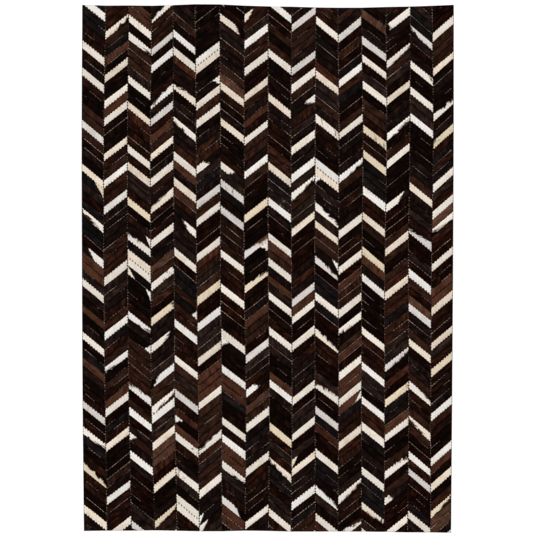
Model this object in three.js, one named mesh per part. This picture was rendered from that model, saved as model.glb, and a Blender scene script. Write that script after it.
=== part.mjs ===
// Hair-on-hide patchwork rug, lying flat.
//
// The rug is sixteen long rows of hide, sewn side by side. Each row is one solid here: its own
// outline between two seams, as thick as the hide with its hair lying flat. The small slanted
// strips that each row is pieced from, the stitches and the hair are surface work and add
// nothing to these solids.
//
// Units are millimetres. +Z is up, +X is to the right along the rug's width and +Y points to its
// head. The origin is under the middle of the rug, on the surface that it lies on.

import * as THREE from 'three';

// ---- Driving dimensions -------------------------------------------------------------------

const RUG_WIDTH = 1200; // nominal, edge to edge
const RUG_LENGTH = 1700; // nominal, hem to hem
const HIDE_THICKNESS = 1.5; // tanned hide
const LYING_HAIR = 2; // short hair, pressed flat
const PIECE_GAP = 0.3; // between two rows that are sewn together
const SEGMENTS = 24; // straight stretches along each seam

// How far each long seam wanders from its even place. Seam 0 and seam 16 are the rug's sides.
// head ... foot: sideways drift at the head, a quarter down, half-way, three quarters and the foot.
// headHem, footHem: how far the hem lies beyond its nominal line there, towards the head.
const SEAM_DRIFT = [
  { head: 0.0, upper: -2.0, middle: -1.0, lower: 1.0, foot: 5.5, headHem: 4.0, footHem: 0.0 },
  { head: 1.0, upper: -5.0, middle: -5.0, lower: -1.0, foot: 6.0, headHem: 1.5, footHem: 1.0 },
  { head: 1.0, upper: -3.6, middle: -3.0, lower: 1.0, foot: 10.0, headHem: 2.0, footHem: 1.0 },
  { head: 0.5, upper: -4.4, middle: -2.5, lower: -1.0, foot: 10.5, headHem: 1.0, footHem: 2.0 },
  { head: -6.0, upper: -4.6, middle: -2.3, lower: -0.3, foot: 7.0, headHem: 3.0, footHem: 0.5 },
  { head: -9.6, upper: -6.0, middle: -4.7, lower: 1.0, foot: 4.4, headHem: 6.0, footHem: -1.0 },
  { head: -5.0, upper: -2.3, middle: -2.3, lower: 2.0, foot: 1.6, headHem: 5.5, footHem: -1.0 },
  { head: -0.2, upper: -0.5, middle: -0.5, lower: 5.3, foot: 2.4, headHem: 1.5, footHem: 1.0 },
  { head: 2.3, upper: 1.6, middle: 2.3, lower: 6.2, foot: 3.2, headHem: -1.0, footHem: 0.0 },
  { head: 3.0, upper: 1.0, middle: 2.8, lower: 4.7, foot: 1.0, headHem: -2.0, footHem: -2.0 },
  { head: 7.0, upper: 4.5, middle: 3.0, lower: 4.0, foot: 5.0, headHem: -4.5, footHem: -2.0 },
  { head: 2.5, upper: 6.7, middle: 4.0, lower: 5.4, foot: 2.8, headHem: -5.3, footHem: -1.5 },
  { head: 3.0, upper: 9.4, middle: 5.2, lower: 4.2, foot: 4.0, headHem: -5.3, footHem: -2.0 },
  { head: 8.3, upper: 11.5, middle: 4.4, lower: 4.4, foot: 2.5, headHem: -3.0, footHem: -3.0 },
  { head: 12.7, upper: 11.0, middle: 6.2, lower: 7.5, foot: 3.6, headHem: -1.5, footHem: -4.5 },
  { head: 8.0, upper: 12.0, middle: 6.0, lower: 3.8, foot: 2.8, headHem: 1.0, footHem: -4.5 },
  { head: 3.3, upper: 3.0, middle: 1.0, lower: -2.0, foot: -5.5, headHem: 4.0, footHem: -6.0 },
];

// ---- Worked out from them -----------------------------------------------------------------

const ROWS = SEAM_DRIFT.length - 1;
const ROW_WIDTH = RUG_WIDTH / ROWS;
const RUG_THICKNESS = HIDE_THICKNESS + LYING_HAIR;
const STATIONS = [0, 0.25, 0.5, 0.75, 1]; // shares of the way from head to foot

// One long seam as points from the head hem to the foot hem, smooth through its five stations.
function seamLine(drift, index) {
  const sideways = [drift.head, drift.upper, drift.middle, drift.lower, drift.foot];
  const bend = new THREE.CubicInterpolant(STATIONS, sideways, 1);
  const evenPlace = index * ROW_WIDTH - RUG_WIDTH / 2;
  const headY = RUG_LENGTH / 2 + drift.headHem;
  const footY = -RUG_LENGTH / 2 + drift.footHem;
  const points = [];
  for (let step = 0; step <= SEGMENTS; step += 1) {
    const share = step / SEGMENTS;
    const x = evenPlace + bend.evaluate(share)[0];
    points.push(new THREE.Vector2(x, THREE.MathUtils.lerp(headY, footY, share)));
  }
  return points;
}

// The seams, moved together so that the rug's outline is centred on the origin.
function centredSeams() {
  const seams = SEAM_DRIFT.map(seamLine);
  const centre = new THREE.Box2().setFromPoints(seams.flat()).getCenter(new THREE.Vector2());
  return seams.map((seam) => seam.map((point) => point.clone().sub(centre)));
}

// The flat outline of one row: up its right seam and down its left one. Only a seam that joins
// two rows gives up half of the gap, so the rug's own sides keep their place.
function rowOutline(leftSeam, rightSeam, leftGap, rightGap) {
  const left = leftSeam.map((point) => new THREE.Vector2(point.x + leftGap, point.y));
  const right = rightSeam.map((point) => new THREE.Vector2(point.x - rightGap, point.y));
  return new THREE.Shape([...left, ...right.reverse()]);
}

// A plain leather, a little lighter or darker from row to row, for telling the rows apart.
function rowMaterial(index) {
  const color = new THREE.Color(0x2a1d18).offsetHSL(0, 0, (index % 3) * 0.015);
  return new THREE.MeshStandardMaterial({ color, roughness: 0.7, metalness: 0 });
}

// One row: its outline, extruded from the surface that the rug lies on to the top of the hair.
function makeRow(seams, index) {
  const leftGap = index === 0 ? 0 : PIECE_GAP / 2;
  const rightGap = index === ROWS - 1 ? 0 : PIECE_GAP / 2;
  const outline = rowOutline(seams[index], seams[index + 1], leftGap, rightGap);
  const geometry = new THREE.ExtrudeGeometry(outline, { depth: RUG_THICKNESS, bevelEnabled: false });
  const row = new THREE.Mesh(geometry, rowMaterial(index));
  row.name = `row_${String(index + 1).padStart(2, '0')}`;
  return row;
}

// ---- The rug ------------------------------------------------------------------------------

const rug = new THREE.Group();
rug.name = 'patchwork_rug';
const seams = centredSeams();
for (let index = 0; index < ROWS; index += 1) {
  rug.add(makeRow(seams, index));
}

export default rug;
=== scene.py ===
# %% [markdown]
# # A hair-on-hide patchwork rug
#
# The rug is sewn from cow hide that still has its short hair. Narrow slanted strips are pieced
# into long rows, and sixteen rows, leaning left and right by turns, make the zigzag. Here each
# row is one sheet, its strips are told apart by values stored on its faces, and the hair is
# drawn by the material. The stitches are small shapes of their own.

# %% The frame that the rug is built in
import functools
import math
import random
from typing import NamedTuple

import bpy
import numpy as np
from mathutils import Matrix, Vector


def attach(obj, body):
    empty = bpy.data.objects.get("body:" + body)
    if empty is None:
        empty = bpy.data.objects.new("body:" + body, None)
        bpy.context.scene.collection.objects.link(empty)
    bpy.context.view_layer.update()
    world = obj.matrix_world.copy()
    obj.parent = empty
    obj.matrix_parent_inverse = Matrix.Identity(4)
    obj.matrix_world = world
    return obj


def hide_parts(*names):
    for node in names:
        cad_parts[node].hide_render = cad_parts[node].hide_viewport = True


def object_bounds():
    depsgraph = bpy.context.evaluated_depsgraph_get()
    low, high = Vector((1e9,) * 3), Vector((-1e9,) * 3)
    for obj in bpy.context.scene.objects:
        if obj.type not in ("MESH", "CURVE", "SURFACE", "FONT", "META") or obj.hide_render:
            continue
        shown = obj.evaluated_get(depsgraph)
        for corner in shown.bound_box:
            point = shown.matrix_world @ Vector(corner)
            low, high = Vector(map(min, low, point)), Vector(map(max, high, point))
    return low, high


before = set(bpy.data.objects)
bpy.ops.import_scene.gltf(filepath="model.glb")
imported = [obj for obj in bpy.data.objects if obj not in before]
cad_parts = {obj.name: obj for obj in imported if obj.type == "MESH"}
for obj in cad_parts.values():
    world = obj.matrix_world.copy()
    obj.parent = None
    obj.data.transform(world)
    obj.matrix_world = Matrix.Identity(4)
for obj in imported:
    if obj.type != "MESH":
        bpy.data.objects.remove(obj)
cad_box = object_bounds()
print("rows in the frame:", len(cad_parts), "box:", cad_box)

# %% [markdown]
# ## Camera
#
# A flat rug is shown from straight above, so that its rows keep their true widths. The camera
# hangs over a point a little off the rug's middle, and its distance follows from how much floor
# the view takes in and from the lens.

# %% Camera
MM = 0.001
VIEW_ACROSS = 1.750
VIEW_CENTRE = (0.0075, -0.0049)
LENS = 50.0


def hang_camera():
    """A camera that looks straight down, with the rug's head at the top of its view."""
    data = bpy.data.cameras.new("camera")
    data.lens = LENS
    camera = bpy.data.objects.new("camera", data)
    camera.location = (*VIEW_CENTRE, VIEW_ACROSS * LENS / data.sensor_width)
    bpy.context.scene.collection.objects.link(camera)
    bpy.context.scene.camera = camera
    return camera


print("camera height:", round(hang_camera().location.z, 3), "m")

# %% [markdown]
# ## The rows' outlines
#
# Each long seam wanders a few millimetres, as hand-guided sewing does. The frame's solids carry
# those lines, so they are read from there: the lowest ring of corners, parted into a left and a
# right seam. Between two corners a seam is straight, which is what `np.interp` gives. Solids
# have to stand a little apart, but sewn hides touch, so each inner side is let out by half of
# that gap.


# %% Reading the outlines
class Outline(NamedTuple):
    """The two long sides of a row, each as x and y values from the foot to the head."""

    left: np.ndarray
    right: np.ndarray

    def left_at(self, y):
        return np.interp(y, self.left[:, 1], self.left[:, 0])

    def right_at(self, y):
        return np.interp(y, self.right[:, 1], self.right[:, 0])


SEAM_GAP = 0.32 * MM
NEAR_FLOOR = 0.5 * MM
SAME_PLACE = 6  # decimals of a metre


def read_outline(node):
    """The outline of one row's solid, from the corners on the floor, each counted once."""
    corners = np.array([vertex.co for vertex in node.data.vertices])
    low = corners[corners[:, 2] < NEAR_FLOOR, :2]
    low = np.unique(np.round(low, SAME_PLACE), axis=0)
    middle = (low[:, 0].min() + low[:, 0].max()) / 2
    sides = [low[low[:, 0] < middle], low[low[:, 0] > middle]]
    return Outline(*[side[np.argsort(side[:, 1])] for side in sides])


def let_out(outline, is_first, is_last):
    """The outline with its inner sides moved out to meet the neighbours."""
    out = np.array([SEAM_GAP / 2, 0])
    left = outline.left if is_first else outline.left - out
    right = outline.right if is_last else outline.right + out
    return Outline(left, right)


ROW_NAMES = sorted(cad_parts)
ROWS = len(ROW_NAMES)
OUTLINES = [
    let_out(read_outline(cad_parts[name]), number == 0, number == ROWS - 1)
    for number, name in enumerate(ROW_NAMES)
]
RUG_WIDTH = cad_box[1].x - cad_box[0].x
ROW_WIDTH = RUG_WIDTH / ROWS
RUG_THICKNESS = cad_box[1].z - cad_box[0].z
print("row width:", round(ROW_WIDTH / MM, 1), "mm, corners a side:", len(OUTLINES[0].left))

# %% [markdown]
# ## Hides
#
# The strips are offcuts, so no two are quite alike. Most are near black or dark brown, many with
# a reddish cast, and about one in four is pale. A few are pied, with two colours on one skin, and
# in most a second tone glints through. Colours are written as they look in daylight, from 0 to
# 255, and are turned into light values once.


# %% Hair colours
def seen_as(red, green, blue):
    """A colour seen as 0 to 255, as the linear light that a shader works in (the sRGB curve)."""
    return tuple(
        ((level / 255 + 0.055) / 1.055) ** 2.4 if level > 10 else level / 3294
        for level in (red, green, blue)
    )


class Hide(NamedTuple):
    """One kind of hide: how often it is used, its hair colour and what glints through it."""

    often: float
    hair: tuple
    glint: tuple


def sort_hides(kinds):
    """Kinds of hide, each from how often it is used and its two colours as they are seen."""
    return [Hide(often, seen_as(*hair), seen_as(*glint)) for often, hair, glint in kinds]


DARK_HIDES = sort_hides(
    [
        (18, (10, 4, 2), (27, 13, 9)),
        (10, (13, 4, 2), (37, 14, 7)),
        (14, (18, 10, 8), (37, 23, 19)),
        (13, (21, 9, 6), (49, 23, 13)),
        (9, (28, 19, 16), (52, 36, 30)),
        (9, (33, 17, 11), (61, 33, 22)),
        (7, (17, 13, 13), (31, 23, 22)),
        (8, (46, 27, 19), (27, 14, 10)),
        (4, (73, 44, 32), (50, 27, 18)),
        (3, (72, 47, 36), (96, 66, 50)),
        (2, (48, 24, 16), (76, 42, 29)),
    ]
)
PALE_HIDES = sort_hides(
    [
        (42, (232, 224, 214), (223, 209, 190)),
        (22, (234, 230, 225), (222, 215, 206)),
        (12, (216, 210, 205), (198, 191, 184)),
        (14, (230, 217, 201), (216, 197, 172)),
        (4, (225, 209, 183), (212, 193, 164)),
    ]
)


def pick_hide(rng, hides):
    """A hide drawn by how often its kind is used."""
    return rng.choices(hides, weights=[hide.often for hide in hides])[0]


print("kinds of hide:", len(DARK_HIDES), "dark,", len(PALE_HIDES), "pale")

# %% [markdown]
# ## The sewing plan
#
# A sewer works to a rhythm: one pale strip, three dark ones, and again, starting at another
# place in each row so that the pale strips are scattered. The bundle isn't perfect, so some
# pale strips come early or late, and now and then two neighbours are cut from one hide. Only the
# rhythm and each row's start are written down here, and a seeded draw makes the strips, so every
# run sews the same rug.

# %% Strips
SEED = 41
STRIP_PITCH = 28.5 * MM
PITCH_SLACK = 0.07
ROW_PITCHES = (0.985, 1.015)
LEAN = 0.80
SLANT = math.hypot(1, LEAN)  # a strip's length for a row that is 1 wide
STRIPS_BEYOND_HEM = 2
FIRST_PALE = (0, 2, 2, 0, 4, 5, 2, 0, 0, 1, 2, 2, 4, 1, 3, 2)
STEPS = (1, 2, 3, 4, 5, 6, 8)
STEP_WEIGHTS = (3, 9, 18, 35, 19, 9, 7)
PIED_PALE = 0.31
MARKED_DARK = 0.05
PALE_MARKINGS = ("end", "edge", "edge", "spots")
DARK_MARKINGS = ("tip", "tip", "tip", "flecks")
MARKED_SHARES = (0.15, 0.75)
PALE_SHADES = (0.93, 1.09)
DARK_SHADES = (0.84, 1.2)
COMBED_ALONG = 0.6
COMBED_SPREAD = 0.2
SAME_HIDE = 0.3


class Strip(NamedTuple):
    """One slanted strip as cut: its two colours, its marking and how its hair lies."""

    hair: tuple
    second: tuple
    marking: str
    side: int
    share: float
    turn: float
    nap: int
    pale: bool


def shade_by(colour, factor):
    """A colour a little lighter or darker."""
    return tuple(channel * factor for channel in colour)


def cut_strip(rng, pale, lean):
    """One strip from the bundle, with a marking if the skin there had two colours."""
    own = pick_hide(rng, PALE_HIDES if pale else DARK_HIDES)
    other = pick_hide(rng, DARK_HIDES if pale else PALE_HIDES)
    light = rng.uniform(*(PALE_SHADES if pale else DARK_SHADES))
    kinds = PALE_MARKINGS if pale else DARK_MARKINGS
    along_strip = math.atan(lean * LEAN) - math.pi / 2
    combed = along_strip if rng.random() < COMBED_ALONG else 0
    marked = rng.random() < (PIED_PALE if pale else MARKED_DARK)
    marking = rng.choice(kinds) if marked else "none"
    return Strip(
        hair=shade_by(own.hair, light),
        second=other.hair if marked else shade_by(own.glint, light),
        marking=marking,
        side=rng.choice((-1, 1)),
        share=rng.uniform(*MARKED_SHARES),
        turn=combed + rng.gauss(0, COMBED_SPREAD),
        nap=rng.choice((-1, 1)),
        pale=pale,
    )


# %% Seams between strips
SEAM_TILT = 0.9  # millimetres from one end to the other
SEAM_WAVE = 0.25  # millimetres to either side
NEXT_WAVE = 0.37
LIKE_BULGES = (0.6, 1.4)
COMBED_OVER_BULGES = (2.2, 3.7)
COMBED_BACK_BULGES = (0.6, 1.6)
OVERHANGS = (1.3, 2.3)


class RowPlan(NamedTuple):
    """A row's strips from the head down, and the seams between them."""

    lean: int
    seams: np.ndarray
    tilt: np.ndarray
    wave: np.ndarray
    strips: list
    laps: np.ndarray

    def seam(self, index, share):
        """Where a seam lies along the row, at this share of the way across."""
        bend = np.sin(2 * np.pi * (share + NEXT_WAVE * index)) * self.wave[index]
        return self.seams[index] + self.tilt[index] * (share - 0.5) + bend

    def down_strip(self, index, share, part):
        """The run along the row at this part of a strip's height, counted from its upper seam."""
        below = np.minimum(index + 1, len(self.seams) - 1)
        return self.seam(index, share) * (1 - part) + self.seam(below, share) * part


def plan_row(row):
    """The strips of one row, drawn for that row alone."""
    rng = random.Random(SEED + row)
    outline = OUTLINES[row]
    head, foot = outline.left[-1, 1], outline.left[0, 1]
    pitch = STRIP_PITCH * rng.uniform(*ROW_PITCHES)
    seams = [head + STRIPS_BEYOND_HEM * pitch]
    while seams[-1] > foot - STRIPS_BEYOND_HEM * pitch:
        seams.append(seams[-1] - pitch * rng.uniform(1 - PITCH_SLACK, 1 + PITCH_SLACK))
    count = len(seams)
    pale_at = {STRIPS_BEYOND_HEM + FIRST_PALE[row]}
    while max(pale_at) < count:
        pale_at.add(max(pale_at) + rng.choices(STEPS, weights=STEP_WEIGHTS)[0])
    lean = 1 if row % 2 else -1
    strips = [cut_strip(rng, index in pale_at, lean) for index in range(count)]
    for index in range(1, count):
        before, strip = strips[index - 1], strips[index]
        alike = before.pale == strip.pale and before.marking == strip.marking == "none"
        if alike and rng.random() < SAME_HIDE:
            strips[index] = strip._replace(hair=before.hair, second=before.second)
    laps = [lap_of(rng, strips, index) for index in range(count)]
    return RowPlan(
        lean=lean,
        seams=np.array(seams),
        tilt=np.array([rng.gauss(0, SEAM_TILT) * MM for _ in seams]),
        wave=np.array([rng.gauss(0, SEAM_WAVE) * MM for _ in seams]),
        strips=strips,
        laps=np.array(laps),
    )


def lap_of(rng, strips, index):
    """How the hair of two strips meets at a seam, in millimetres: how far it bulges between two
    stitches, and how far the whole line is shifted. Both are above 0 towards the lower strip."""
    above, below = strips[max(index - 1, 0)], strips[index]
    if above.pale == below.pale:
        return rng.choice((-1, 1)) * rng.uniform(*LIKE_BULGES), 0.0
    combed_over = above.nap < 0 if above.pale else below.nap > 0
    bulge = rng.uniform(*(COMBED_OVER_BULGES if combed_over else COMBED_BACK_BULGES))
    way = 1 if above.pale else -1
    return way * bulge, -way * rng.uniform(*OVERHANGS)


PLANS = [plan_row(row) for row in range(ROWS)]
print("strips:", sum(len(plan.strips) for plan in PLANS))
print("pale:", sum(strip.pale for plan in PLANS for strip in plan.strips))

# %% [markdown]
# ## Places on a row
#
# Two numbers say where a point of a row is: its share of the way across, from the left seam to
# the right one, and its height along the row once the lean is taken out. Both directions of
# that sum are needed: one lays the sheet out, and the other asks a finished face which strip it
# belongs to.


# %% From the row to the rug and back
def leaned(row, share):
    """How far up the rug the row's lean moves a place at this share across."""
    return PLANS[row].lean * LEAN * ROW_WIDTH * (share - 0.5)


def on_rug(row, share, run):
    """x and y of the point at this share across and this run along the row."""
    y = run + leaned(row, share)
    left, right = OUTLINES[row].left_at(y), OUTLINES[row].right_at(y)
    return left + (right - left) * share, y


def on_row(row, x, y):
    """The share across and the run along the row, of a point on the rug."""
    left, right = OUTLINES[row].left_at(y), OUTLINES[row].right_at(y)
    share = (x - left) / (right - left)
    return share, y - leaned(row, share)


def strip_at(row, share, run):
    """Which strip holds each of these places."""
    plan = PLANS[row]
    last = len(plan.strips) - 2
    index = np.clip(np.searchsorted(-plan.seams, -run) - 1, 0, last)
    index = np.where(run > plan.seam(index, share), index - 1, index).clip(0, last)
    return np.where(run <= plan.seam(index + 1, share), index + 1, index).clip(0, last)


def between_hems(row, y):
    """Whether each height lies between the row's head hem and its foot hem."""
    side = OUTLINES[row].left[:, 1]
    return (y > side[0]) & (y < side[-1])


middle_share = on_row(ROWS // 2 - 1, 0.0, 0.0)[0]
print("the rug's middle is", round(float(middle_share), 2), "of the way across row", ROWS // 2)

# %% [markdown]
# ## Cutting a row's sheet
#
# A row starts as a flat grid whose lines are moved onto the strips, so that a line of edges runs
# down every seam. Two straight cuts trim it to its hems, and Solidify gives it the hide's
# thickness. The relief comes last: hide swells between seams and sinks where thread pulls it
# down, and the rug's own edge is turned under, so it rolls away.

# %% Row sheets
HIDE = 1.5 * MM
STRIP_LINES = (0.0, 0.08, 0.3, 0.5, 0.7, 0.92)
ACROSS_LINES = np.array([0, 0.022, 0.06, *np.linspace(0.12, 0.88, 14), 0.94, 0.978, 1])
CROWN = 3.5 * MM
CROSS_DIP = (1.1 * MM, 2.6 * MM)
LONG_DIP = (1.4 * MM, 3.0 * MM)
SWELL = 0.35 * MM
EDGE_ROLL = 6.0 * MM
EDGE_HEIGHT = 1.7 * MM
FAR_FROM_EDGE = 1.0
HIDE_CREASE = math.radians(50)
HEMS = ((-1, 1), (0, -1))  # head and foot: a seam's last or first corner, and which way is out


def only(piece):
    """Make a piece the one that is selected and active."""
    bpy.ops.object.select_all(action="DESELECT")
    piece.select_set(True)
    bpy.context.view_layer.objects.active = piece


def get_places(mesh):
    """All vertex places of a mesh, one row of an array each."""
    places = np.empty(len(mesh.vertices) * 3, np.float32)
    mesh.vertices.foreach_get("co", places)
    return places.reshape(-1, 3).astype(float)


def set_places(mesh, places):
    """Move all vertices of a mesh."""
    mesh.vertices.foreach_set("co", places.astype(np.float32).ravel())
    mesh.update()


def grid_sheet(row):
    """The flat grid, with its lines along the strips, still longer than the row."""
    plan = PLANS[row]
    lines = (len(plan.strips) - 1) * len(STRIP_LINES)
    across = len(ACROSS_LINES) - 1
    bpy.ops.object.select_all(action="DESELECT")
    bpy.ops.mesh.primitive_grid_add(x_subdivisions=across, y_subdivisions=lines, size=1)
    sheet = bpy.context.object
    places = get_places(sheet.data)
    column = np.rint((places[:, 0] + 0.5) * across).astype(int)
    line = np.rint((places[:, 1] + 0.5) * lines).astype(int)[::-1]
    share = ACROSS_LINES[column]
    index = line // len(STRIP_LINES)
    part = np.array(STRIP_LINES)[line % len(STRIP_LINES)]
    places[:, 0], places[:, 1] = on_rug(row, share, plan.down_strip(index, share, part))
    set_places(sheet.data, places)
    return sheet


def trim_to_hems(sheet, outline):
    """Cut the sheet along the straight lines of the head hem and the foot hem."""
    only(sheet)
    bpy.ops.object.mode_set(mode="EDIT")
    for end, outward in HEMS:
        left, right = outline.left[end], outline.right[end]
        slope = (right[1] - left[1]) / (right[0] - left[0])
        bpy.ops.mesh.select_all(action="SELECT")
        bpy.ops.mesh.bisect(
            plane_co=(left[0], left[1], 0),
            plane_no=(-slope * outward, outward, 0),
            clear_outer=True,
        )
    bpy.ops.object.mode_set(mode="OBJECT")


def thicken(sheet):
    """Give the flat sheet the hide's thickness, downwards, closed round its edge."""
    only(sheet)
    bpy.ops.object.modifier_add(type="SOLIDIFY")
    solidify = sheet.modifiers[-1]
    solidify.thickness = HIDE
    solidify.offset = -1
    solidify.material_offset = 1
    bpy.ops.object.modifier_apply(modifier=solidify.name)


def edge_distance(row, x, y):
    """How far each place is from the rug's own edge."""
    outline = OUTLINES[row]
    far = np.full(len(x), FAR_FROM_EDGE)
    for end, outward in HEMS:
        left, right = outline.left[end], outline.right[end]
        hem = np.interp(x, (left[0], right[0]), (left[1], right[1]))
        far = np.minimum(far, (hem - y) * outward)
    if row == 0:
        far = np.minimum(far, x - outline.left_at(y))
    if row == ROWS - 1:
        far = np.minimum(far, outline.right_at(y) - x)
    return np.maximum(far, 0)


def nearest_seam(row, share, run):
    """The number of the cross seam that lies nearest to each place."""
    plan = PLANS[row]
    index = strip_at(row, share, run)
    upper, lower = plan.seam(index, share), plan.seam(index + 1, share)
    return np.where(upper - run < run - lower, index, index + 1)


def swell(strip_index, share):
    """A slow swelling of the hide, which differs from strip to strip."""
    return SWELL * np.sin(0.9 * strip_index + 5 * share) * np.sin(7.1 * strip_index)


def surface_height(row, x, y):
    """How high the hair side lies at each place: a strip's crown, less the dips at its seams."""
    share, run = on_row(row, x, y)
    nearest, own = nearest_seam(row, share, run), strip_at(row, share, run)
    cross = np.abs(run - PLANS[row].seam(nearest, share)) / SLANT
    pulled = np.exp(-((cross / CROSS_DIP[1]) ** 2))
    side = np.minimum(share, 1 - share) * ROW_WIDTH
    height = CROWN + swell(own, share) * (1 - pulled) - CROSS_DIP[0] * pulled
    height -= LONG_DIP[0] * np.exp(-((side / LONG_DIP[1]) ** 2))
    roll = np.clip(edge_distance(row, x, y) / EDGE_ROLL, 0, 1)
    rounded = np.sqrt(1 - (1 - roll) ** 2)
    return EDGE_HEIGHT + (np.maximum(height, EDGE_HEIGHT) - EDGE_HEIGHT) * rounded


def raise_relief(sheet, row):
    """Lay the underside flat on the floor and shape the hair side above it."""
    places = get_places(sheet.data)
    top = places[:, 2] > -HIDE / 2
    height = surface_height(row, places[:, 0], places[:, 1])
    places[:, 2] = np.where(top, height, 0)
    set_places(sheet.data, places)


def cut_row(row):
    """One whole row of hide, cut, trimmed, thickened and shaped."""
    sheet = grid_sheet(row)
    sheet.name = sheet.data.name = f"hide_row_{row + 1:02d}"
    trim_to_hems(sheet, OUTLINES[row])
    thicken(sheet)
    raise_relief(sheet, row)
    only(sheet)
    bpy.ops.object.shade_smooth_by_angle(angle=HIDE_CREASE)
    return sheet


HIDE_ROWS = [cut_row(row) for row in range(ROWS)]
print("faces a row:", len(HIDE_ROWS[0].data.polygons))

# %% [markdown]
# ## What each face knows
#
# The material has to draw hair that hangs over a seam, so a face must know both strips that meet
# at its nearest seam, and not only its own. Colours that are the same all over a face are stored
# on the face. Distances in millimetres change from corner to corner, so they are kept as UV maps,
# which are only pairs of numbers with a name.

# %% Markings and maps
NO_MARKING = -60.0
OUTSIDE_MARKING = -40.0
END_SLOPE, END_SLANT = 0.7, 0.8
EDGE_REACH, EDGE_SLANT = (0.85, 0.8), 0.16
SPECKS = {"spots": (-2.2, 0.06), "flecks": (-7.5, 0.05)}
TIP_LENGTH, TIP_SLOPE = 28.0, 2.2
STITCH_PITCH = 10.8
STRIP_LENGTH = ROW_WIDTH * SLANT / MM
HALF_STRIP = STRIP_PITCH / SLANT / MM / 2


def marking_field(strip, along, across):
    """How deep, in millimetres, each place is inside the strip's second colour."""
    reach = strip.share * STRIP_LENGTH
    from_end = along if strip.side < 0 else STRIP_LENGTH - along
    if strip.marking == "end":
        return (reach - from_end) * END_SLOPE + END_SLANT * strip.nap * across
    if strip.marking == "edge":
        slant = EDGE_SLANT * strip.nap * (along - STRIP_LENGTH / 2)
        spared = HALF_STRIP * (EDGE_REACH[0] - EDGE_REACH[1] * strip.share)
        return strip.side * across - spared + slant
    if strip.marking in SPECKS:
        at_end, fall = SPECKS[strip.marking]
        return at_end - fall * from_end
    if strip.marking == "tip":
        point = TIP_LENGTH * (0.5 + strip.share)
        return TIP_SLOPE * (HALF_STRIP * (1 - 2 * from_end / point) - strip.nap * across)
    return np.full(len(along), NO_MARKING)


def corner_places(mesh):
    """The face of every corner and its vertex."""
    vertex = np.empty(len(mesh.loops), np.int32)
    mesh.loops.foreach_get("vertex_index", vertex)
    count = np.empty(len(mesh.polygons), np.int32)
    mesh.polygons.foreach_get("loop_total", count)
    return np.repeat(np.arange(len(count)), count), vertex


def face_centres(mesh):
    """The middle of every face and the way it faces."""
    centre = np.empty(len(mesh.polygons) * 3, np.float32)
    mesh.polygons.foreach_get("center", centre)
    normal = np.empty(len(mesh.polygons) * 3, np.float32)
    mesh.polygons.foreach_get("normal", normal)
    return centre.reshape(-1, 3).astype(float), normal.reshape(-1, 3).astype(float)


def add_map(mesh, name, pairs):
    """A UV map of this name, holding a pair of numbers for each corner."""
    layer = mesh.uv_layers.new(name=name, do_init=False)
    layer.uv.foreach_set("vector", np.ascontiguousarray(pairs, np.float32).ravel())


def add_colours(mesh, name, colours):
    """A colour for each face, under this name."""
    layer = mesh.attributes.new(name, "FLOAT_COLOR", "FACE")
    opaque = np.concatenate([colours, np.ones((len(colours), 1))], axis=1)
    layer.data.foreach_set("color", opaque.astype(np.float32).ravel())


def add_numbers(mesh, name, domain, numbers):
    """A number for each face or vertex, under this name."""
    layer = mesh.attributes.new(name, "FLOAT", domain)
    layer.data.foreach_set("value", numbers.astype(np.float32))


def strip_fields(row, strip_index, share, run):
    """marking_field at every corner, for the strip that each corner asks about."""
    plan = PLANS[row]
    field = np.full(len(share), NO_MARKING)
    for index in np.unique(strip_index):
        strip = plan.strips[index]
        if strip.marking == "none":
            continue
        here = strip_index == index
        middle = (plan.seams[index] + plan.seams[min(index + 1, len(plan.seams) - 1)]) / 2
        across = (run[here] - middle) / SLANT / MM
        depth = marking_field(strip, share[here] * STRIP_LENGTH, across)
        field[here] = np.maximum(depth, OUTSIDE_MARKING)
    return field


# %% [markdown]
# A baked picture of a long thin row would waste most of its square, so the row's own bake map
# folds it into five lanes side by side. The hair side fills most of each lane, the flesh side a
# smaller block above it, and the walls sit in the lanes' margins.

# %% The bake map
LANES = 5
LANE_MARGIN = 0.07
HAIR_BLOCK = (0.004, 0.79)
FLESH_BLOCK = (0.81, 0.965)
END_BLOCK = (0.975, 0.99)
WALLS, WALL_DEPTH = (0.01, 0.99), 0.02
NEXT_STRIP, NEXT_ROW = 173.0, 977.0  # millimetres that part the hair noise of two strips


def into(block, part):
    """The place at this part of the way through a block of the bake map."""
    return block[0] + (block[1] - block[0]) * part


def bake_lanes(row, face_strip, normal, share, run, height, face):
    """Where each corner lies on the bake map."""
    plan = PLANS[row]
    count = len(plan.strips)
    lane = face_strip * LANES // count
    first = np.array([-(-number * count // LANES) for number in range(LANES + 1)])
    upper = plan.seams[np.minimum(first[lane], count - 1)]
    lower = plan.seams[np.minimum(first[lane + 1], count - 1)]
    down = np.clip((upper[face] - run) / (upper - lower)[face], -0.01, 1.01)
    inside = LANE_MARGIN + (1 - 2 * LANE_MARGIN) * np.clip(share, 0, 1)
    side = np.abs(normal[:, 2]) < 0.5
    long_side = side & (np.abs(normal[:, 0]) > np.abs(normal[:, 1]))
    is_end = side & ~long_side
    flesh = ~side & (normal[:, 2] < 0)
    rise = np.clip(height / RUG_THICKNESS, 0, 1.2)
    inwards = WALL_DEPTH * rise
    wall = np.where(normal[face, 0] < 0, WALLS[0] + inwards, WALLS[1] - inwards)
    u = np.where(long_side[face], wall, inside)
    v = np.where(flesh[face], into(FLESH_BLOCK, down), into(HAIR_BLOCK, down))
    v = np.where(is_end[face], into(END_BLOCK, rise), v)
    return np.stack([(lane[face] + u) / LANES, v], 1)


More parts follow.
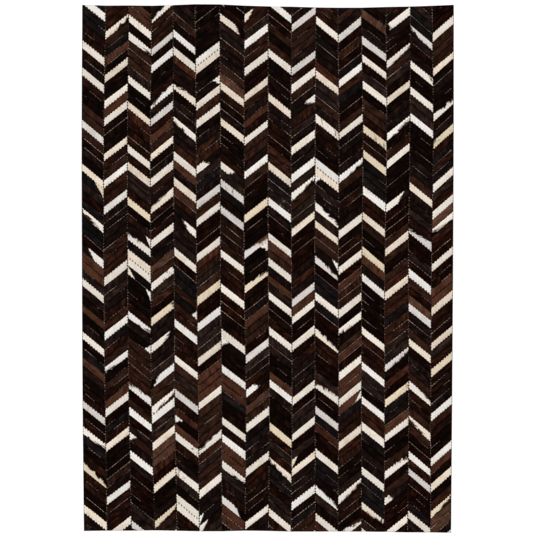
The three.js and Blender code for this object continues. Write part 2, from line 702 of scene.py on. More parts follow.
def tell_faces(sheet, row):
    """Store on a row's faces and corners all that the material asks for."""
    mesh, plan = sheet.data, PLANS[row]
    places = get_places(mesh)
    centre, normal = face_centres(mesh)
    face, vertex = corner_places(mesh)
    face_share, face_run = on_row(row, centre[:, 0], centre[:, 1])
    own = strip_at(row, face_share, face_run)
    seam = nearest_seam(row, face_share, face_run)
    above, below = np.maximum(seam - 1, 0), np.minimum(seam, len(plan.strips) - 1)
    hair = np.array([strip.hair for strip in plan.strips])
    second = np.array([strip.second for strip in plan.strips])
    for name, index in (("above", above), ("below", below)):
        add_colours(mesh, f"hair_{name}", hair[index])
        add_colours(mesh, f"second_{name}", second[index])
    add_numbers(mesh, "bulge", "FACE", plan.laps[below, 0])
    add_numbers(mesh, "shift", "FACE", plan.laps[below, 1])

    x, y = places[vertex, 0], places[vertex, 1]
    share, run = on_row(row, x, y)
    signed = (run - plan.seam(seam[face], share)) / SLANT / MM
    add_map(mesh, "seam_run", np.stack([share * STRIP_LENGTH, signed], 1))
    fields = [strip_fields(row, index[face], share, run) for index in (above, below)]
    add_map(mesh, "second_run", np.stack(fields, 1))
    turn = np.array([strip.turn for strip in plan.strips])[own[face]]
    offset = NEXT_STRIP * own[face] + NEXT_ROW * row
    lay = [
        (x * np.cos(turn) + y * np.sin(turn)) / MM + offset,
        (y * np.cos(turn) - x * np.sin(turn)) / MM + offset,
    ]
    add_map(mesh, "hair_lay", np.stack(lay, 1))
    every_x, every_y = places[:, 0], places[:, 1]
    every_share = on_row(row, every_x, every_y)[0]
    side = np.minimum(every_share, 1 - every_share) * ROW_WIDTH / MM
    add_numbers(mesh, "side_run", "POINT", side)
    add_numbers(mesh, "edge_run", "POINT", edge_distance(row, every_x, every_y) / MM)
    bake = bake_lanes(row, own, normal, share, run, places[vertex, 2], face)
    add_map(mesh, "OFBake", bake)
    mesh.uv_layers["hair_lay"].active_render = True


for number, sheet in enumerate(HIDE_ROWS):
    while sheet.data.uv_layers:
        sheet.data.uv_layers.remove(sheet.data.uv_layers[0])
    tell_faces(sheet, number)
print("maps on a row:", [layer.name for layer in HIDE_ROWS[0].data.uv_layers])

# %% [markdown]
# ## Sums in the shader
#
# A material is a net of nodes, and a sum is easier to read as a sum. `Value` wraps one socket
# and adds a Math node for each operator, and `Net.node` makes every other node.


# %% Shader helpers
class Value:
    """One output socket that Python can reckon with."""

    def __init__(self, net, socket):
        self.net, self.socket = net, socket

    def reckon(self, operation, *others):
        sockets = dict(enumerate((self, *others)))
        return self.net.node("ShaderNodeMath", {"operation": operation}, sockets)

    def __add__(self, other):
        return self.reckon("ADD", other)

    def __sub__(self, other):
        return self.reckon("SUBTRACT", other)

    def __rsub__(self, other):
        return self.reckon("MULTIPLY", -1.0).reckon("ADD", other)

    def __mul__(self, other):
        return self.reckon("MULTIPLY", other)

    def __pow__(self, other):
        return self.reckon("POWER", other)

    def __abs__(self):
        return self.reckon("ABSOLUTE")

    __radd__ = __add__
    __rmul__ = __mul__


class Net:
    """The nodes of one material, or of the world."""

    def __init__(self, tree):
        self.tree = tree

    def node(self, kind, settings, sockets, output=0):
        """A node of this kind, with its settings made first and then its sockets filled."""
        made = self.tree.nodes.new(kind)
        for name, value in settings.items():
            setattr(made, name, value)
        for key, value in sockets.items():
            found = [s for s in made.inputs if key in (s.name, s.identifier)]
            socket = made.inputs[key] if isinstance(key, int) else found[0]
            if isinstance(value, Value):
                self.tree.links.new(value.socket, socket)
            else:
                socket.default_value = value
        return Value(self, made.outputs[output])


class Finish(Net):
    """A material being made."""

    def __init__(self, name, roughness, specular, sheen=0.0):
        self.material = bpy.data.materials.new(name)
        self.material.use_nodes = True
        super().__init__(self.material.node_tree)
        self.shader = next(n for n in self.tree.nodes if n.type == "BSDF_PRINCIPLED")
        self.shader.inputs["Roughness"].default_value = roughness
        self.shader.inputs["Specular IOR Level"].default_value = specular
        self.shader.inputs["Sheen Weight"].default_value = sheen

    def place(self):
        """The place on the rug, in metres."""
        return self.node("ShaderNodeTexCoord", {}, {}, "Object")

    def stored_colour(self, name):
        return self.node("ShaderNodeAttribute", {"attribute_name": name}, {}, "Color")

    def stored_number(self, name):
        return self.node("ShaderNodeAttribute", {"attribute_name": name}, {}, "Fac")

    def mapped(self, name):
        return self.node("ShaderNodeUVMap", {"uv_map": name}, {})

    def apart(self, vector):
        """The first two numbers of a vector."""
        split = self.node("ShaderNodeSeparateXYZ", {}, {0: vector})
        return split, Value(self, split.socket.node.outputs[1])

    def stretched(self, vector, across, along):
        scale = {0: vector, 1: (across, along, 1.0)}
        return self.node("ShaderNodeVectorMath", {"operation": "MULTIPLY"}, scale)

    def noise(self, vector, scale=1.0, detail=2.0, roughness=0.5, dimensions="2D"):
        sockets = {"Vector": vector, "Scale": scale, "Detail": detail, "Roughness": roughness}
        return self.node("ShaderNodeTexNoise", {"noise_dimensions": dimensions}, sockets)

    def ease(self, value, low, high):
        """0 below low, 1 above high and smooth between."""
        sockets = {"Value": value, "From Min": low, "From Max": high}
        return self.node("ShaderNodeMapRange", {"interpolation_type": "SMOOTHSTEP"}, sockets)

    def blend(self, share, first, second, way="MIX"):
        """Two colours mixed."""
        settings = {"data_type": "RGBA", "blend_type": way}
        sockets = {"Factor_Float": share, "A_Color": first, "B_Color": second}
        return self.node("ShaderNodeMix", settings, sockets, output=2)

    def darkened(self, colour, factor):
        """A colour times a number."""
        sockets = {0: colour, "Scale": factor}
        return self.node("ShaderNodeVectorMath", {"operation": "SCALE"}, sockets)

    def feed(self, name, value):
        self.tree.links.new(value.socket, self.shader.inputs[name])

    def bump(self, height, distance, strength):
        sockets = {"Height": height, "Distance": distance, "Strength": strength}
        self.feed("Normal", self.node("ShaderNodeBump", {}, sockets))


print("shader sums ready")

# %% [markdown]
# ## The hair side
#
# Short hair lies in fine parallel bundles, so its noise is stretched along the way it was
# combed. At a seam one strip's hair hangs over the other in small scallops, one to each stitch,
# because the thread parts it. The seam's signed distance is shifted by those scallops, and where
# the result is above zero the upper strip's hair shows. Each seam is painted in shade: dark hair
# there goes nearly black, while pale hair only dulls a little. Towards its roots pale hair is
# warmer, which shows where it parts and where a marking fades out; beside a seam that warmth is
# also painted warm shade in the parting. Each stitch gets a dark dot of painted shade where the
# thread pulls the hide in, and the dots are wider between two strips of a kind, where no hair
# hangs over them.

# %% Hair in bundles
# Each noise's waves to a millimetre, across the hair and along it, then its detail and roughness.
HAIR_NOISES = {
    "hairs": (2.6, 0.2, 2, 0.6),
    "strands": (1.3, 0.13, 3, 0.5),
    "bundles": (0.36, 0.06, 2, 0.5),
    "mottle": (0.11, 0.035, 3, 0.55),
    "blotch": (0.08, 0.035, 3, 0.6),
    "drift": (0.03, 0.014, 1, 0.5),
}
HAIR_BASE = (1.0, 0.84, 0.74, 1)
GLINT = 0.9
FRINGE = 3.6


class Grain(NamedTuple):
    """The noises that draw hair, from single hairs up to clouds over a whole strip."""

    hairs: Value
    strands: Value
    bundles: Value
    mottle: Value
    blotch: Value
    drift: Value


def uneven(grain, **widths):
    """The named noises added up, each of them swinging round 0 and this wide."""
    swings = [(getattr(grain, name) - 0.5) * width for name, width in widths.items()]
    return functools.reduce(Value.__add__, swings)


def hair_grain(finish):
    """Every noise of HAIR_NOISES, stretched along the way that the hair was combed."""
    lay = finish.mapped("hair_lay")
    made = {
        name: finish.noise(finish.stretched(lay, across, along), detail=detail, roughness=rough)
        for name, (across, along, detail, rough) in HAIR_NOISES.items()
    }
    return Grain(**made)


def strip_colour(finish, name, field, tuft, smoke, mottle):
    """One strip's hair: its own colour, what glints through and its second colour."""
    own = finish.stored_colour(f"hair_{name}")
    second = finish.stored_colour(f"second_{name}")
    marked = finish.ease(field + tuft, smoke * -1.0, smoke)
    unmarked = finish.ease(field, NO_MARKING + 10, NO_MARKING + 9)
    glint = finish.ease(mottle, 0.42, 0.76) * unmarked * GLINT
    mixed = finish.blend(marked.reckon("MAXIMUM", glint), own, second)
    fringe = marked * (1 - marked) * FRINGE
    return finish.blend(fringe, mixed, HAIR_BASE, way="MULTIPLY")


def both_colours(finish, grain):
    """The hair of the lower strip and of the upper one, at the seam nearest to each place. A
    marking fades over 1.2 to 5.2 mm to either side of its border, which is tufted."""
    mottle = grain.mottle + uneven(grain, drift=0.5)
    smoke = 1.2 + finish.ease(grain.drift, 0.53, 0.65) * 4.0
    tuft = uneven(grain, bundles=14.0, blotch=23.0, strands=13.0)
    field_above, field_below = finish.apart(finish.mapped("second_run"))
    below = strip_colour(finish, "below", field_below, tuft, smoke, mottle)
    above = strip_colour(finish, "above", field_above, tuft, smoke, mottle)
    return below, above


print("noises:", list(HAIR_NOISES))

# %% Hair at the seams
ROW_STITCH_PITCH = 8.8 * MM
HANG_LEVEL = 0.62
# How dark the painted shade is at each stitch and down the long seams.
STITCH_SHADE_DEPTH = 0.93
LONG_SEAM_SHADE = 0.97
LONG_SEAM_REACH = 2.9


def scallops(along, pitch):
    """From 0 at a stitch to 1 half-way to the next."""
    return abs((along * (math.pi / pitch)).reckon("SINE"))


def hanging_hair(finish, grain, between, shift):
    """How far, in millimetres, the upper strip's hair hangs past the seam."""
    bulge = finish.stored_number("bulge")
    ragged = uneven(grain, strands=2.0, bundles=2.2)
    wisp = finish.ease(grain.bundles, 0.7, 0.84) * finish.ease(grain.strands, 0.4, 0.6)
    return bulge * (between + wisp - HANG_LEVEL) + shift + ragged


def painted_shade_share(finish, from_line, from_stitch, shift, pale):
    """How much painted shade darkens the hair in the seams, at the stitches, down the long seams
    and at the rug's rolled edge, up to 1. The distances are in millimetres."""
    side, edge = finish.stored_number("side_run"), finish.stored_number("edge_run")
    down_row = finish.apart(finish.place())[1]
    in_seam = 1 - finish.ease(from_line, 0.4, 3.0)
    stitched = 1 - scallops(down_row, ROW_STITCH_PITCH)
    in_long_seam = 1 - finish.ease(side - stitched * LONG_SEAM_REACH, -0.2, 0.9)
    at_edge = 1 - finish.ease(edge, 0.5, 4.5)
    alike = 1 - finish.ease(abs(shift), 0.3, 0.9)
    stitch_shade = 1 - finish.ease(from_stitch, 0.9 + alike * 0.8, 2.0 + alike * 1.4)
    # Painted shade: deep in a seam, at each stitch, down the long seams and where the rug's edge
    # rolls under.
    painted_shade = in_seam * (0.66 - pale * 0.6)
    painted_shade = painted_shade.reckon("MAXIMUM", stitch_shade * STITCH_SHADE_DEPTH)
    painted_shade = painted_shade.reckon("MAXIMUM", in_long_seam * LONG_SEAM_SHADE)
    return painted_shade.reckon("MAXIMUM", at_edge * (0.85 - pale * 0.6))


def streaks_and_sheen(grain, brown, pale):
    """How much lighter or darker each bundle is, as tone that differs from bundle to bundle and as
    painted sheen: strongest in black hair, faint in pale hair.
    """
    fine = uneven(grain, strands=0.7, hairs=1.1)
    broad = uneven(grain, bundles=0.5, blotch=2.4)
    return 1 + fine * (1.2 - pale * 0.8) + broad * (1.2 - brown * 0.6 - pale * 0.5)


print("a stitch down the long seams every", round(ROW_STITCH_PITCH / MM, 1), "mm")


# %% Hair material
def hair_finish():
    """Short combed hair, drawn from what each face knows."""
    finish = Finish("hide_hair", roughness=0.55, specular=0.01)
    grain = hair_grain(finish)
    along, signed = finish.apart(finish.mapped("seam_run"))
    between = scallops(along, STITCH_PITCH)
    shift = finish.stored_number("shift")
    line = signed + hanging_hair(finish, grain, between, shift)
    hair = finish.blend(finish.ease(line, -0.3, 0.3), *both_colours(finish, grain))

    light = finish.node("ShaderNodeRGBToBW", {}, {0: hair})
    brown, pale = finish.ease(light, 0.006, 0.03), finish.ease(light, 0.15, 0.5)
    from_line = abs(line)
    # Pale hair warms beside the seam line: partly its own warmer roots, partly painted warm shade
    # in the parting.
    warm_roots_and_shade = (1 - finish.ease(from_line, 0.3, 1.9)) * pale
    hair = finish.blend(warm_roots_and_shade, hair, HAIR_BASE, way="MULTIPLY")
    from_stitch = (signed * signed + (between * (STITCH_PITCH / math.pi)) ** 2.0) ** 0.5
    painted_shade = painted_shade_share(finish, from_line, from_stitch, shift, pale)
    # Beside a seam, pale hair gets a painted highlight where it bulges between two stitches, and
    # painted shade at each stitch.
    painted_bulge_light = finish.ease(from_line, 3.4, 0.8) * pale * (between - 0.25) * 0.26
    shade = streaks_and_sheen(grain, brown, pale) * (1 - painted_shade) + painted_bulge_light
    finish.feed("Base Color", finish.darkened(hair, shade))
    finish.feed("Roughness", 0.5 + grain.strands * 0.12)
    finish.bump(grain.hairs * 0.6 + grain.strands * 0.7 + grain.bundles, 0.4 * MM, 0.6)
    return finish.material


HAIR = hair_finish()
print("hair nodes:", len(HAIR.node_tree.nodes))

# %% [markdown]
# ## The flesh side
#
# Underneath is the suede back of the same strips: dull, greyish tan and slightly cloudy, with the
# thread showing along each seam. It reads the same maps, so its seams lie under those above.


# %% Flesh material
def flesh_finish():
    """The suede back of the hide."""
    finish = Finish("hide_flesh", roughness=0.9, specular=0.1, sheen=0.1)
    lay = finish.mapped("hair_lay")
    along, signed = finish.apart(finish.mapped("seam_run"))
    side = finish.stored_number("side_run")
    cloud = finish.noise(lay, scale=0.05, detail=4, roughness=0.6)
    nap = finish.noise(lay, scale=0.9, detail=3)
    suede = finish.blend(
        finish.ease(cloud, 0.3, 0.7),
        (*seen_as(150, 132, 112), 1),
        (*seen_as(178, 162, 140), 1),
    )
    stitched = finish.ease(scallops(along, STITCH_PITCH), 0.2, 0.5)
    seam = (1 - finish.ease(abs(signed), 0.3, 0.9)) * stitched
    seam = seam.reckon("MAXIMUM", 1 - finish.ease(side, 0.3, 0.8))
    sewn = finish.blend(seam, suede, (*seen_as(92, 80, 72), 1))
    finish.feed("Base Color", finish.darkened(sewn, 0.86 + nap * 0.28))
    finish.bump(nap - seam * 0.8, 0.3 * MM, 0.6)
    return finish.material


FLESH = flesh_finish()
for sheet in HIDE_ROWS:
    sheet.data.materials.clear()
    sheet.data.materials.append(HAIR)
    sheet.data.materials.append(FLESH)
    flags = np.array([face.normal.z < -0.5 for face in sheet.data.polygons], np.int32)
    sheet.data.polygons.foreach_set("material_index", flags)
    sheet.data.update()
print("flesh faces on row 1:", int(sum(f.material_index for f in HIDE_ROWS[0].data.polygons)))

# %% [markdown]
# ## Stitches
#
# The thread is a dull, warm taupe. Along the strips it shows as a thin line, nearly unbroken where
# it shows at all, that comes and goes where hair covers it. Down the long seams it is a dot to each
# stitch, mostly hidden beside pale hair. One stitch is modelled, as a four-sided bar whose ends
# are drawn in and pulled down, and copies of its mesh are laid along the seams.

# %% One stitch
STITCH_SIDES = 4
STITCH_CUTS = (-0.22, 0.22)
END_WIDTH, END_HEIGHT, END_DROP = 0.45, 0.4, 0.55


def take_shape(piece):
    """The places and triangles of a modelled piece, which is itself removed."""
    places = get_places(piece.data)
    faces = np.array([tuple(face.vertices) for face in piece.data.polygons])
    bpy.data.objects.remove(piece)
    return places, faces


def model_stitch():
    """A stitch one unit long, lying along X."""
    bpy.ops.object.select_all(action="DESELECT")
    bpy.ops.mesh.primitive_cylinder_add(
        vertices=STITCH_SIDES, radius=0.5, depth=1, rotation=(0, math.pi / 2, 0)
    )
    stitch = bpy.context.object
    bpy.ops.object.transform_apply(location=True, rotation=True, scale=True)
    bpy.ops.object.mode_set(mode="EDIT")
    for cut in STITCH_CUTS:
        bpy.ops.mesh.select_all(action="SELECT")
        bpy.ops.mesh.bisect(plane_co=(cut, 0, 0), plane_no=(1, 0, 0))
    bpy.ops.mesh.select_all(action="SELECT")
    bpy.ops.mesh.quads_convert_to_tris()
    bpy.ops.object.mode_set(mode="OBJECT")
    places, faces = take_shape(stitch)
    at_end = np.abs(places[:, 0]) > 0.4
    places[at_end, 1] *= END_WIDTH
    places[at_end, 2] = places[at_end, 2] * END_HEIGHT - END_DROP
    return places, faces


STITCH = model_stitch()
print("triangles in a stitch:", len(STITCH[1]))

# %% Many copies in one piece
CELL_MARGIN = 0.15


def join_copies(name, corners, modelled):
    """One piece of many copies of a small shape, given every copy's corners. On the bake map
    each copy has a square cell to itself."""
    shape, faces = modelled
    copies = len(corners)
    every = (faces[None] + len(shape) * np.arange(copies)[:, None, None]).reshape(-1, 3)
    mesh = bpy.data.meshes.new(name)
    mesh.from_pydata(corners.reshape(-1, 3).tolist(), [], every.tolist())
    mesh.update()
    across = math.ceil(math.sqrt(copies))
    cell = np.stack([np.arange(copies) % across, np.arange(copies) // across], 1)
    low, high = shape[:, :2].min(0), shape[:, :2].max(0)
    inside = CELL_MARGIN + (1 - 2 * CELL_MARGIN) * (shape[:, :2] - low) / (high - low)
    bake = (cell[:, None] + inside[None]).reshape(-1, 2) / across
    add_map(mesh, "OFBake", bake[every.ravel()])
    piece = bpy.data.objects.new(name, mesh)
    bpy.context.scene.collection.objects.link(piece)
    only(piece)
    return piece


# %% Where the stitches go
SEAM_STITCH = (10.0 * MM, 1.15 * MM, 0.8 * MM)
ROW_STITCH = (5.0 * MM, 1.35 * MM, 0.9 * MM)
STITCH_LIFT = 0.35 * MM
STITCH_CREASE = math.radians(70)
CLEAR_OF_EDGE = 5 * MM
CLEAR_OF_HEM = 6 * MM
SHOWN = (0.02, 0.58)
SHOWN_SWINGS = (0.2, 0.6)
SHOWN_WAVES = (0.5, 1.2)
LEAST_SHOWN = 0.12
SEAM_TURN = 0.05
SIZE_AS_SHOWN = (0.8, 0.2)  # when hidden, and how much more when fully shown
BRIGHT_AS_SHOWN = (0.2, 0.85)
THREAD_SHADES = (0.75, 1.2)
HIDDEN_BY_PALE_HAIR = 0.85
ROW_SLIP = 0.5  # millimetres
ROW_TURN = 0.3
ROW_STITCH_SIZES = (0.75, 1.15)
ROW_BRIGHTNESS = (0.46, 0.22)
ROW_SWING = 0.28
ROW_BRIGHT_LIMITS = (0.1, 1)


def seam_stitches(row):
    """Stitches along a row's cross seams, as x, y, heading, size and brightness in columns."""
    rng = random.Random(SEED * 100 + row)
    plan, found = PLANS[row], []
    heading = math.atan(plan.lean * LEAN)
    shares = np.arange(STITCH_PITCH / 2, STRIP_LENGTH, STITCH_PITCH) / STRIP_LENGTH
    for index in range(1, len(plan.strips)):
        above, below = plan.strips[index - 1], plan.strips[index]
        seen = rng.gauss(*SHOWN)
        swing, phase = rng.uniform(*SHOWN_SWINGS), rng.uniform(0, 2 * math.pi)
        if above.pale or below.pale:
            continue
        x, y = on_rug(row, shares, plan.seam(index, shares))
        waves = np.sin(2 * np.pi * shares * rng.uniform(*SHOWN_WAVES) + phase)
        shows = np.clip(seen + swing * waves, 0, 1)
        inside = between_hems(row, y) & (edge_distance(row, x, y) > CLEAR_OF_EDGE)
        for place in np.flatnonzero((shows > LEAST_SHOWN) & inside):
            turn = heading + rng.gauss(0, SEAM_TURN)
            size = SIZE_AS_SHOWN[0] + SIZE_AS_SHOWN[1] * shows[place]
            bright = BRIGHT_AS_SHOWN[0] + BRIGHT_AS_SHOWN[1] * shows[place]
            bright *= rng.uniform(*THREAD_SHADES)
            found.append((x[place], y[place], turn, size, bright))
    return np.array(found)


def pale_at_side(row, y, share):
    """Whether a row's strip is pale at its left seam (share 0) or right seam (share 1)."""
    index = strip_at(row, np.full(len(y), share), y - leaned(row, share))
    return np.array([PLANS[row].strips[number].pale for number in index])


def row_stitches(row):
    """Stitches down the seam between this row and the next one."""
    rng = random.Random(SEED * 200 + row)
    left, right = OUTLINES[row], OUTLINES[row + 1]
    head, foot = left.right[-1, 1] - CLEAR_OF_HEM, left.right[0, 1] + CLEAR_OF_HEM
    y = np.arange(math.ceil(foot / ROW_STITCH_PITCH), head / ROW_STITCH_PITCH) * ROW_STITCH_PITCH
    y = y + np.array([rng.gauss(0, ROW_SLIP) * MM for _ in y])
    x = (left.right_at(y) + right.left_at(y)) / 2
    turn = np.array([math.pi / 2 + rng.gauss(0, ROW_TURN) for _ in y])
    size = np.array([rng.uniform(*ROW_STITCH_SIZES) for _ in y])
    come_and_go = ROW_SWING * np.sin(31 * y + 5 * row)
    bright = np.array([rng.gauss(*ROW_BRIGHTNESS) for _ in y]) + come_and_go
    bright = np.clip(bright, *ROW_BRIGHT_LIMITS)
    hidden = np.array([rng.random() < HIDDEN_BY_PALE_HAIR for _ in y])
    beside_pale = pale_at_side(row, y, 1.0) | pale_at_side(row + 1, y, 0.0)
    return np.stack([x, y, turn, size, bright], 1)[~(hidden & beside_pale)]


def lay_stitches(name, size, rows_of_places):
    """One piece of many stitches, from (x, y, heading, size, brightness) for each."""
    shape, faces = STITCH
    places = np.concatenate([places for _, places in rows_of_places])
    heights = [surface_height(row, p[:, 0], p[:, 1]) for row, p in rows_of_places]
    heights = np.concatenate(heights)
    cos, sin = np.cos(places[:, 2]), np.sin(places[:, 2])
    along = shape[None, :, 0] * size[0] * places[:, 3:4]
    wide = shape[None, :, 1] * size[1] * np.sqrt(places[:, 3:4])
    up = shape[None, :, 2] * size[2] + STITCH_LIFT + heights[:, None]
    x = places[:, :1] + along * cos[:, None] - wide * sin[:, None]
    y = places[:, 1:2] + along * sin[:, None] + wide * cos[:, None]
    piece = join_copies(name, np.stack([x, y, up], 2), STITCH)
    add_numbers(piece.data, "brightness", "FACE", np.repeat(places[:, 4], len(faces)))
    bpy.ops.object.shade_smooth_by_angle(angle=STITCH_CREASE)
    return piece


def thread_finish():
    """Dull taupe thread, cloudy where dust and hair cling to it."""
    finish = Finish("seam_thread", roughness=0.75, specular=0.15)
    place = finish.place()
    cloud = finish.noise(place, scale=55.0, dimensions="3D")
    twist = finish.noise(place, scale=900.0, detail=1.0, dimensions="3D")
    thread = finish.blend(
        finish.ease(cloud, 0.3, 0.7),
        (*seen_as(132, 106, 92), 1),
        (*seen_as(203, 180, 165), 1),
    )
    shown = finish.stored_number("brightness")
    finish.feed("Base Color", finish.darkened(thread, (0.8 + twist * 0.4) * shown))
    return finish.material


THREAD = thread_finish()
ROWS_A_PIECE = 4
STITCHES = []
for start in range(0, ROWS, ROWS_A_PIECE):
    name = f"strip_stitches_{start // ROWS_A_PIECE + 1}"
    laid = [(row, seam_stitches(row)) for row in range(start, start + ROWS_A_PIECE)]
    STITCHES.append(lay_stitches(name, SEAM_STITCH, laid))
between = [(row, row_stitches(row)) for row in range(ROWS - 1)]
STITCHES.append(lay_stitches("row_stitches", ROW_STITCH, between))
for piece in STITCHES:
    piece.data.materials.append(THREAD)
    print(piece.name, len(piece.data.polygons), "triangles")

# %% [markdown]
# ## Locks of hair
#
# Short hair stands at a low angle: a lock leaves the skin, rises a little and ends in a free tip.
# One lock is modelled, as a three-sided cone that lies down, and copies of it are scattered over
# every strip that has no marking, the way the strip was combed. Where a pale one meets a dark one,
# locks also hang over the seam: a fan of pale ones between two stitches, and dark ones that dip in
# at each stitch.

# %% One lock
LOCK_SIDES = 3
LOCK_FLATNESS = 0.6


def model_lock():
    """A lock one unit long, from its root at X = 0 to its tip."""
    bpy.ops.object.select_all(action="DESELECT")
    bpy.ops.mesh.primitive_cone_add(
        vertices=LOCK_SIDES,
        radius1=0.5,
        radius2=0,
        depth=1,
        end_fill_type="NGON",
        rotation=(0, math.pi / 2, 0),
    )
    lock = bpy.context.object
    bpy.ops.object.transform_apply(location=True, rotation=True, scale=True)
    bpy.ops.object.mode_set(mode="EDIT")
    bpy.ops.mesh.select_all(action="SELECT")
    bpy.ops.transform.resize(value=(1, 1, LOCK_FLATNESS))
    bpy.ops.transform.translate(value=(0.5, 0, 0))
    bpy.ops.object.mode_set(mode="OBJECT")
    return take_shape(lock)


LOCK = model_lock()
print("a lock's corners:", LOCK[0].round(2).tolist(), "faces:", LOCK[1].tolist())

# %% Locks over the strips
LOCKS_A_STRIP = 34
LOCK_LENGTHS = (6.0 * MM, 10.0 * MM)
LOCK_SPREAD = 0.16
CLEAR_OF_STRIP_ENDS = (0.04, 0.96)
CLEAR_OF_SEAMS = (0.12, 0.88)
CLEAR_OF_LONG_SEAMS = (0.025, 0.975)
EVEN_SHADES = (0.94, 1.04)
UNEVEN_SHADES = (0.7, 1.7)


class Locks(NamedTuple):
    """Many locks of one row: where each root and tip is, seen from above, and its colour."""

    row: int
    root: np.ndarray
    tip: np.ndarray
    colour: np.ndarray


def lock_fits(row, ends):
    """Whether these ends of locks lie on the row, clear of its long seams and the rug's edge."""
    x, y = ends.T
    share, _ = on_row(row, x, y)
    on_hide = (share > CLEAR_OF_LONG_SEAMS[0]) & (share < CLEAR_OF_LONG_SEAMS[1])
    return on_hide & between_hems(row, y) & (edge_distance(row, x, y) > CLEAR_OF_EDGE)


def tint(strip, shade, kept):
    """The strip's hair colour for each kept lock, lighter or darker by its shade."""
    return (np.array(strip.hair)[None] * shade[:, None])[kept]


def gather(row, bundles):
    """One row's locks, from the roots, tips and colours of each of its bundles."""
    return Locks(row, *[np.concatenate(parts) for parts in zip(*bundles)])


def strip_locks(row):
    """Locks scattered over a row's strips, the way each strip is combed."""
    rng = np.random.default_rng(SEED * 300 + row)
    plan, bundles = PLANS[row], []
    for index in range(len(plan.strips) - 1):
        strip = plan.strips[index]
        if strip.marking != "none":
            continue
        share = rng.uniform(*CLEAR_OF_STRIP_ENDS, LOCKS_A_STRIP)
        part = rng.uniform(*CLEAR_OF_SEAMS, LOCKS_A_STRIP)
        x, y = on_rug(row, share, plan.down_strip(index, share, part))
        combed = strip.turn + math.pi / 2 + (math.pi if strip.nap < 0 else 0)
        heading = combed + rng.normal(0, LOCK_SPREAD, LOCKS_A_STRIP)
        length = rng.uniform(*LOCK_LENGTHS, LOCKS_A_STRIP)
        shades = EVEN_SHADES if strip.pale else UNEVEN_SHADES
        shade = rng.uniform(*shades, LOCKS_A_STRIP)
        root = np.stack([x, y], 1)
        tip = root + np.stack([np.cos(heading), np.sin(heading)], 1) * length[:, None]
        kept = strip_at(row, *on_row(row, *tip.T)) == index
        kept &= lock_fits(row, root) & lock_fits(row, tip)
        bundles.append((root[kept], tip[kept], tint(strip, shade, kept)))
    return gather(row, bundles)


# %% Locks over the seams
FAN = (-0.34, -0.12, 0.12, 0.34)
FAN_SPREAD = 0.03
PALE_TIP, PALE_ROOT, PALE_LIFT = -0.3, 5.5, 1.02
DARK_DIPS, DARK_ROOT, DARK_LIFT = (0.5, 0.8), -2.5, 1.2
LOCK_SLIDE = 0.7
END_MARGINS = (2, 3)
ON_STRIP = (0.01, 0.99)


def seam_locks(row):
    """Locks that hang over the seams where a pale strip meets a dark one. All places along a
    seam, and across it from dark to pale, are in millimetres."""
    rng = np.random.default_rng(SEED * 400 + row)
    plan, bundles = PLANS[row], []
    upward = np.array([-plan.lean * LEAN, 1]) / SLANT
    along_seam = np.array([1, plan.lean * LEAN]) / SLANT
    stitches = np.arange(STITCH_PITCH, STRIP_LENGTH - END_MARGINS[0], STITCH_PITCH)
    scallops_at = np.arange(STITCH_PITCH / 2, STRIP_LENGTH - END_MARGINS[1], STITCH_PITCH)
    for index in range(1, len(plan.strips)):
        above, below = plan.strips[index - 1], plan.strips[index]
        if above.pale == below.pale or above.marking != "none" or below.marking != "none":
            continue
        pale, dark = (above, below) if above.pale else (below, above)
        way = 1 if above.pale else -1
        bulge, shift = abs(plan.laps[index, 0]), abs(plan.laps[index, 1])
        fan = np.array(FAN)[None] + rng.normal(0, FAN_SPREAD, (len(scallops_at), len(FAN)))
        reach = (shift - bulge * (np.cos(math.pi * fan) - HANG_LEVEL)).ravel()
        at = (scallops_at[:, None] + fan * STITCH_PITCH).ravel()
        dip = rng.uniform(*DARK_DIPS, len(stitches)) * bulge + shift
        dark_root = np.full(len(stitches), DARK_ROOT)
        for place, tip_in, root_in, strip, lift in (
            (at, reach + PALE_TIP, reach + PALE_ROOT, pale, PALE_LIFT),
            (stitches, dip, dark_root, dark, DARK_LIFT),
        ):
            share = np.clip(place / STRIP_LENGTH, *ON_STRIP)
            x, y = on_rug(row, share, plan.seam(index, share))
            seam = np.stack([x, y], 1)
            slide = rng.normal(0, LOCK_SLIDE, len(place))[:, None] * MM * along_seam
            root = seam + way * root_in[:, None] * MM * upward - slide
            tip = seam + way * tip_in[:, None] * MM * upward + slide
            kept = lock_fits(row, root) & lock_fits(row, tip)
            shade = lift * rng.uniform(*EVEN_SHADES, len(place))
            bundles.append((root[kept], tip[kept], tint(strip, shade, kept)))
    return gather(row, bundles)


# %% Laying the locks
LOCK_WIDTH = 1.7 * MM
ROOT_DEPTH = 0.55 * MM
TIP_RISE = 0.35 * MM


def lay_locks(name, groups):
    """One piece of many locks, each rooted in the hide with its tip free."""
    root = np.concatenate([g.root for g in groups])
    tip = np.concatenate([g.tip for g in groups])
    low = np.concatenate([surface_height(g.row, *g.root.T) for g in groups]) - ROOT_DEPTH
    high = np.concatenate([surface_height(g.row, *g.tip.T) for g in groups]) + TIP_RISE
    root = np.concatenate([root, low[:, None]], 1)
    tip = np.concatenate([tip, high[:, None]], 1)
    way = tip - root
    flat = np.hypot(way[:, 0], way[:, 1])[:, None]
    sideways = np.stack([-way[:, 1], way[:, 0], np.zeros(len(way))], 1) / flat
    shape = LOCK[0]
    corners = root[:, None] + shape[None, :, :1] * way[:, None]
    corners = corners + shape[None, :, 1:2] * LOCK_WIDTH * sideways[:, None]
    corners[:, :, 2] += shape[None, :, 2] * LOCK_WIDTH
    piece = join_copies(name, corners, LOCK)
    colours = np.concatenate([g.colour for g in groups])
    add_colours(piece.data, "hair", np.repeat(colours, len(LOCK[1]), axis=0))
    return piece


def lock_finish():
    """Hair of the lock's own colour, a little uneven."""
    finish = Finish("hair_locks", roughness=0.55, specular=0.01)
    uneven = finish.noise(finish.place(), scale=400.0, dimensions="3D")
    hair = finish.stored_colour("hair")
    finish.feed("Base Color", finish.darkened(hair, 0.75 + uneven * 0.5))
    return finish.material


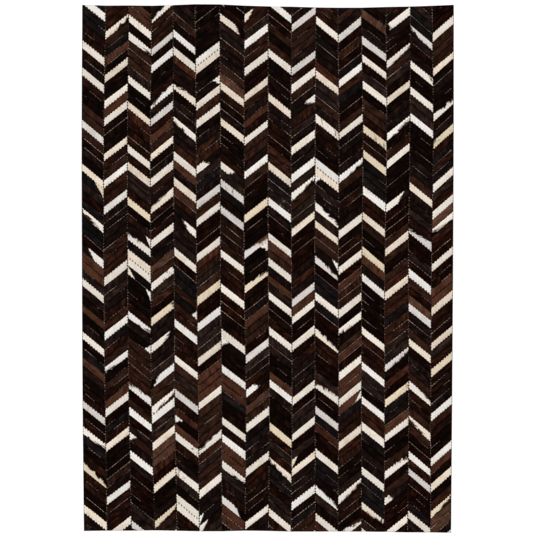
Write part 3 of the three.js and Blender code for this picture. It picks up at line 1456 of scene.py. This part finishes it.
LOCK_FINISH = lock_finish()
LOCK_PIECES = [
    lay_locks("hair_locks_1", [strip_locks(row) for row in range(0, ROWS // 2)]),
    lay_locks("hair_locks_2", [strip_locks(row) for row in range(ROWS // 2, ROWS)]),
    lay_locks("seam_locks", [seam_locks(row) for row in range(ROWS)]),
]
for piece in LOCK_PIECES:
    piece.data.materials.append(LOCK_FINISH)
    print(piece.name, len(piece.data.polygons), "triangles")
made = [*HIDE_ROWS, *STITCHES, *LOCK_PIECES]
for piece in made:
    piece.data.calc_loop_triangles()
print("triangles in all:", sum(len(piece.data.loop_triangles) for piece in made))

# %% [markdown]
# ## Floor and light
#
# Soft light from all round keeps a colour close to how it is written, and one wide lamp from the
# head's left gives the hide its shape. The floor is pale and takes a shadow. It glows a little for
# camera, mirrored and see-through rays alone, so it looks white and the rug gets no extra light.

# %% Floor, world and lamp
FLOOR_SIZE = 14.0
FLOOR_DROP = 0.2 * MM
SKY_STRENGTH = 0.70
LAMP_STRENGTH = 1.35
LAMP_TILT = (math.radians(-38), math.radians(-34), 0)
LAMP_SPREAD = math.radians(25)
FLOOR_GLOW = 0.36
SHOWN_RAYS = ("Is Camera Ray", "Is Glossy Ray", "Is Transmission Ray")


def shown_rays(net):
    """1 for a ray that shows the background, straight, mirrored or through glass, else 0."""
    path = net.node("ShaderNodeLightPath", {}, {}).socket.node
    rays = [Value(net, path.outputs[name]) for name in SHOWN_RAYS]
    return rays[0].reckon("MAXIMUM", rays[1]).reckon("MAXIMUM", rays[2])


def lay_floor():
    """A pale floor that looks white to the camera and still holds a shadow."""
    bpy.ops.object.select_all(action="DESELECT")
    bpy.ops.mesh.primitive_plane_add(size=FLOOR_SIZE, location=(0, 0, -FLOOR_DROP))
    floor = bpy.context.object
    floor.name = "floor"
    finish = Finish("floor", roughness=0.9, specular=0.0)
    finish.shader.inputs["Base Color"].default_value = (0.8, 0.8, 0.8, 1)
    finish.shader.inputs["Emission Strength"].default_value = 1.0
    finish.feed("Emission Color", shown_rays(finish) * FLOOR_GLOW)
    floor.data.materials.append(finish.material)
    return floor


def light_world():
    """A white world that lights the rug a little more softly than the camera sees it."""
    world = bpy.data.worlds.new("studio")
    world.use_nodes = True
    bpy.context.scene.world = world
    net = Net(world.node_tree)
    background = next(node for node in net.tree.nodes if node.type == "BACKGROUND")
    background.inputs["Color"].default_value = (1, 1, 1, 1)
    sockets = {"Value": shown_rays(net), "To Min": SKY_STRENGTH, "To Max": 1.0}
    strength = net.node("ShaderNodeMapRange", {}, sockets)
    net.tree.links.new(strength.socket, background.inputs["Strength"])


def hang_lamp():
    """A wide, soft lamp, low enough to bring out the seams."""
    data = bpy.data.lights.new("window", "SUN")
    data.energy = LAMP_STRENGTH
    data.angle = LAMP_SPREAD
    lamp = bpy.data.objects.new("window", data)
    lamp.rotation_euler = LAMP_TILT
    bpy.context.scene.collection.objects.link(lamp)


floor = lay_floor()
light_world()
hang_lamp()
bpy.context.scene.view_settings.view_transform = "Standard"
print("floor, world and lamp are in place")

# %% [markdown]
# ## What each piece stands for
#
# Every piece rides on the rug's one body. A row of hide stands for its plain solid, which is
# hidden.

# %% Telling the frame
for name, sheet, outline in zip(ROW_NAMES, HIDE_ROWS, OUTLINES):
    width = float(np.mean(outline.right[:, 0] - outline.left[:, 0]))
    length = float(outline.left[-1, 1] - outline.left[0, 1])
    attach(sheet, "root")
    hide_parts(name)
for piece in STITCHES:
    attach(piece, "root")
for piece in LOCK_PIECES:
    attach(piece, "root")
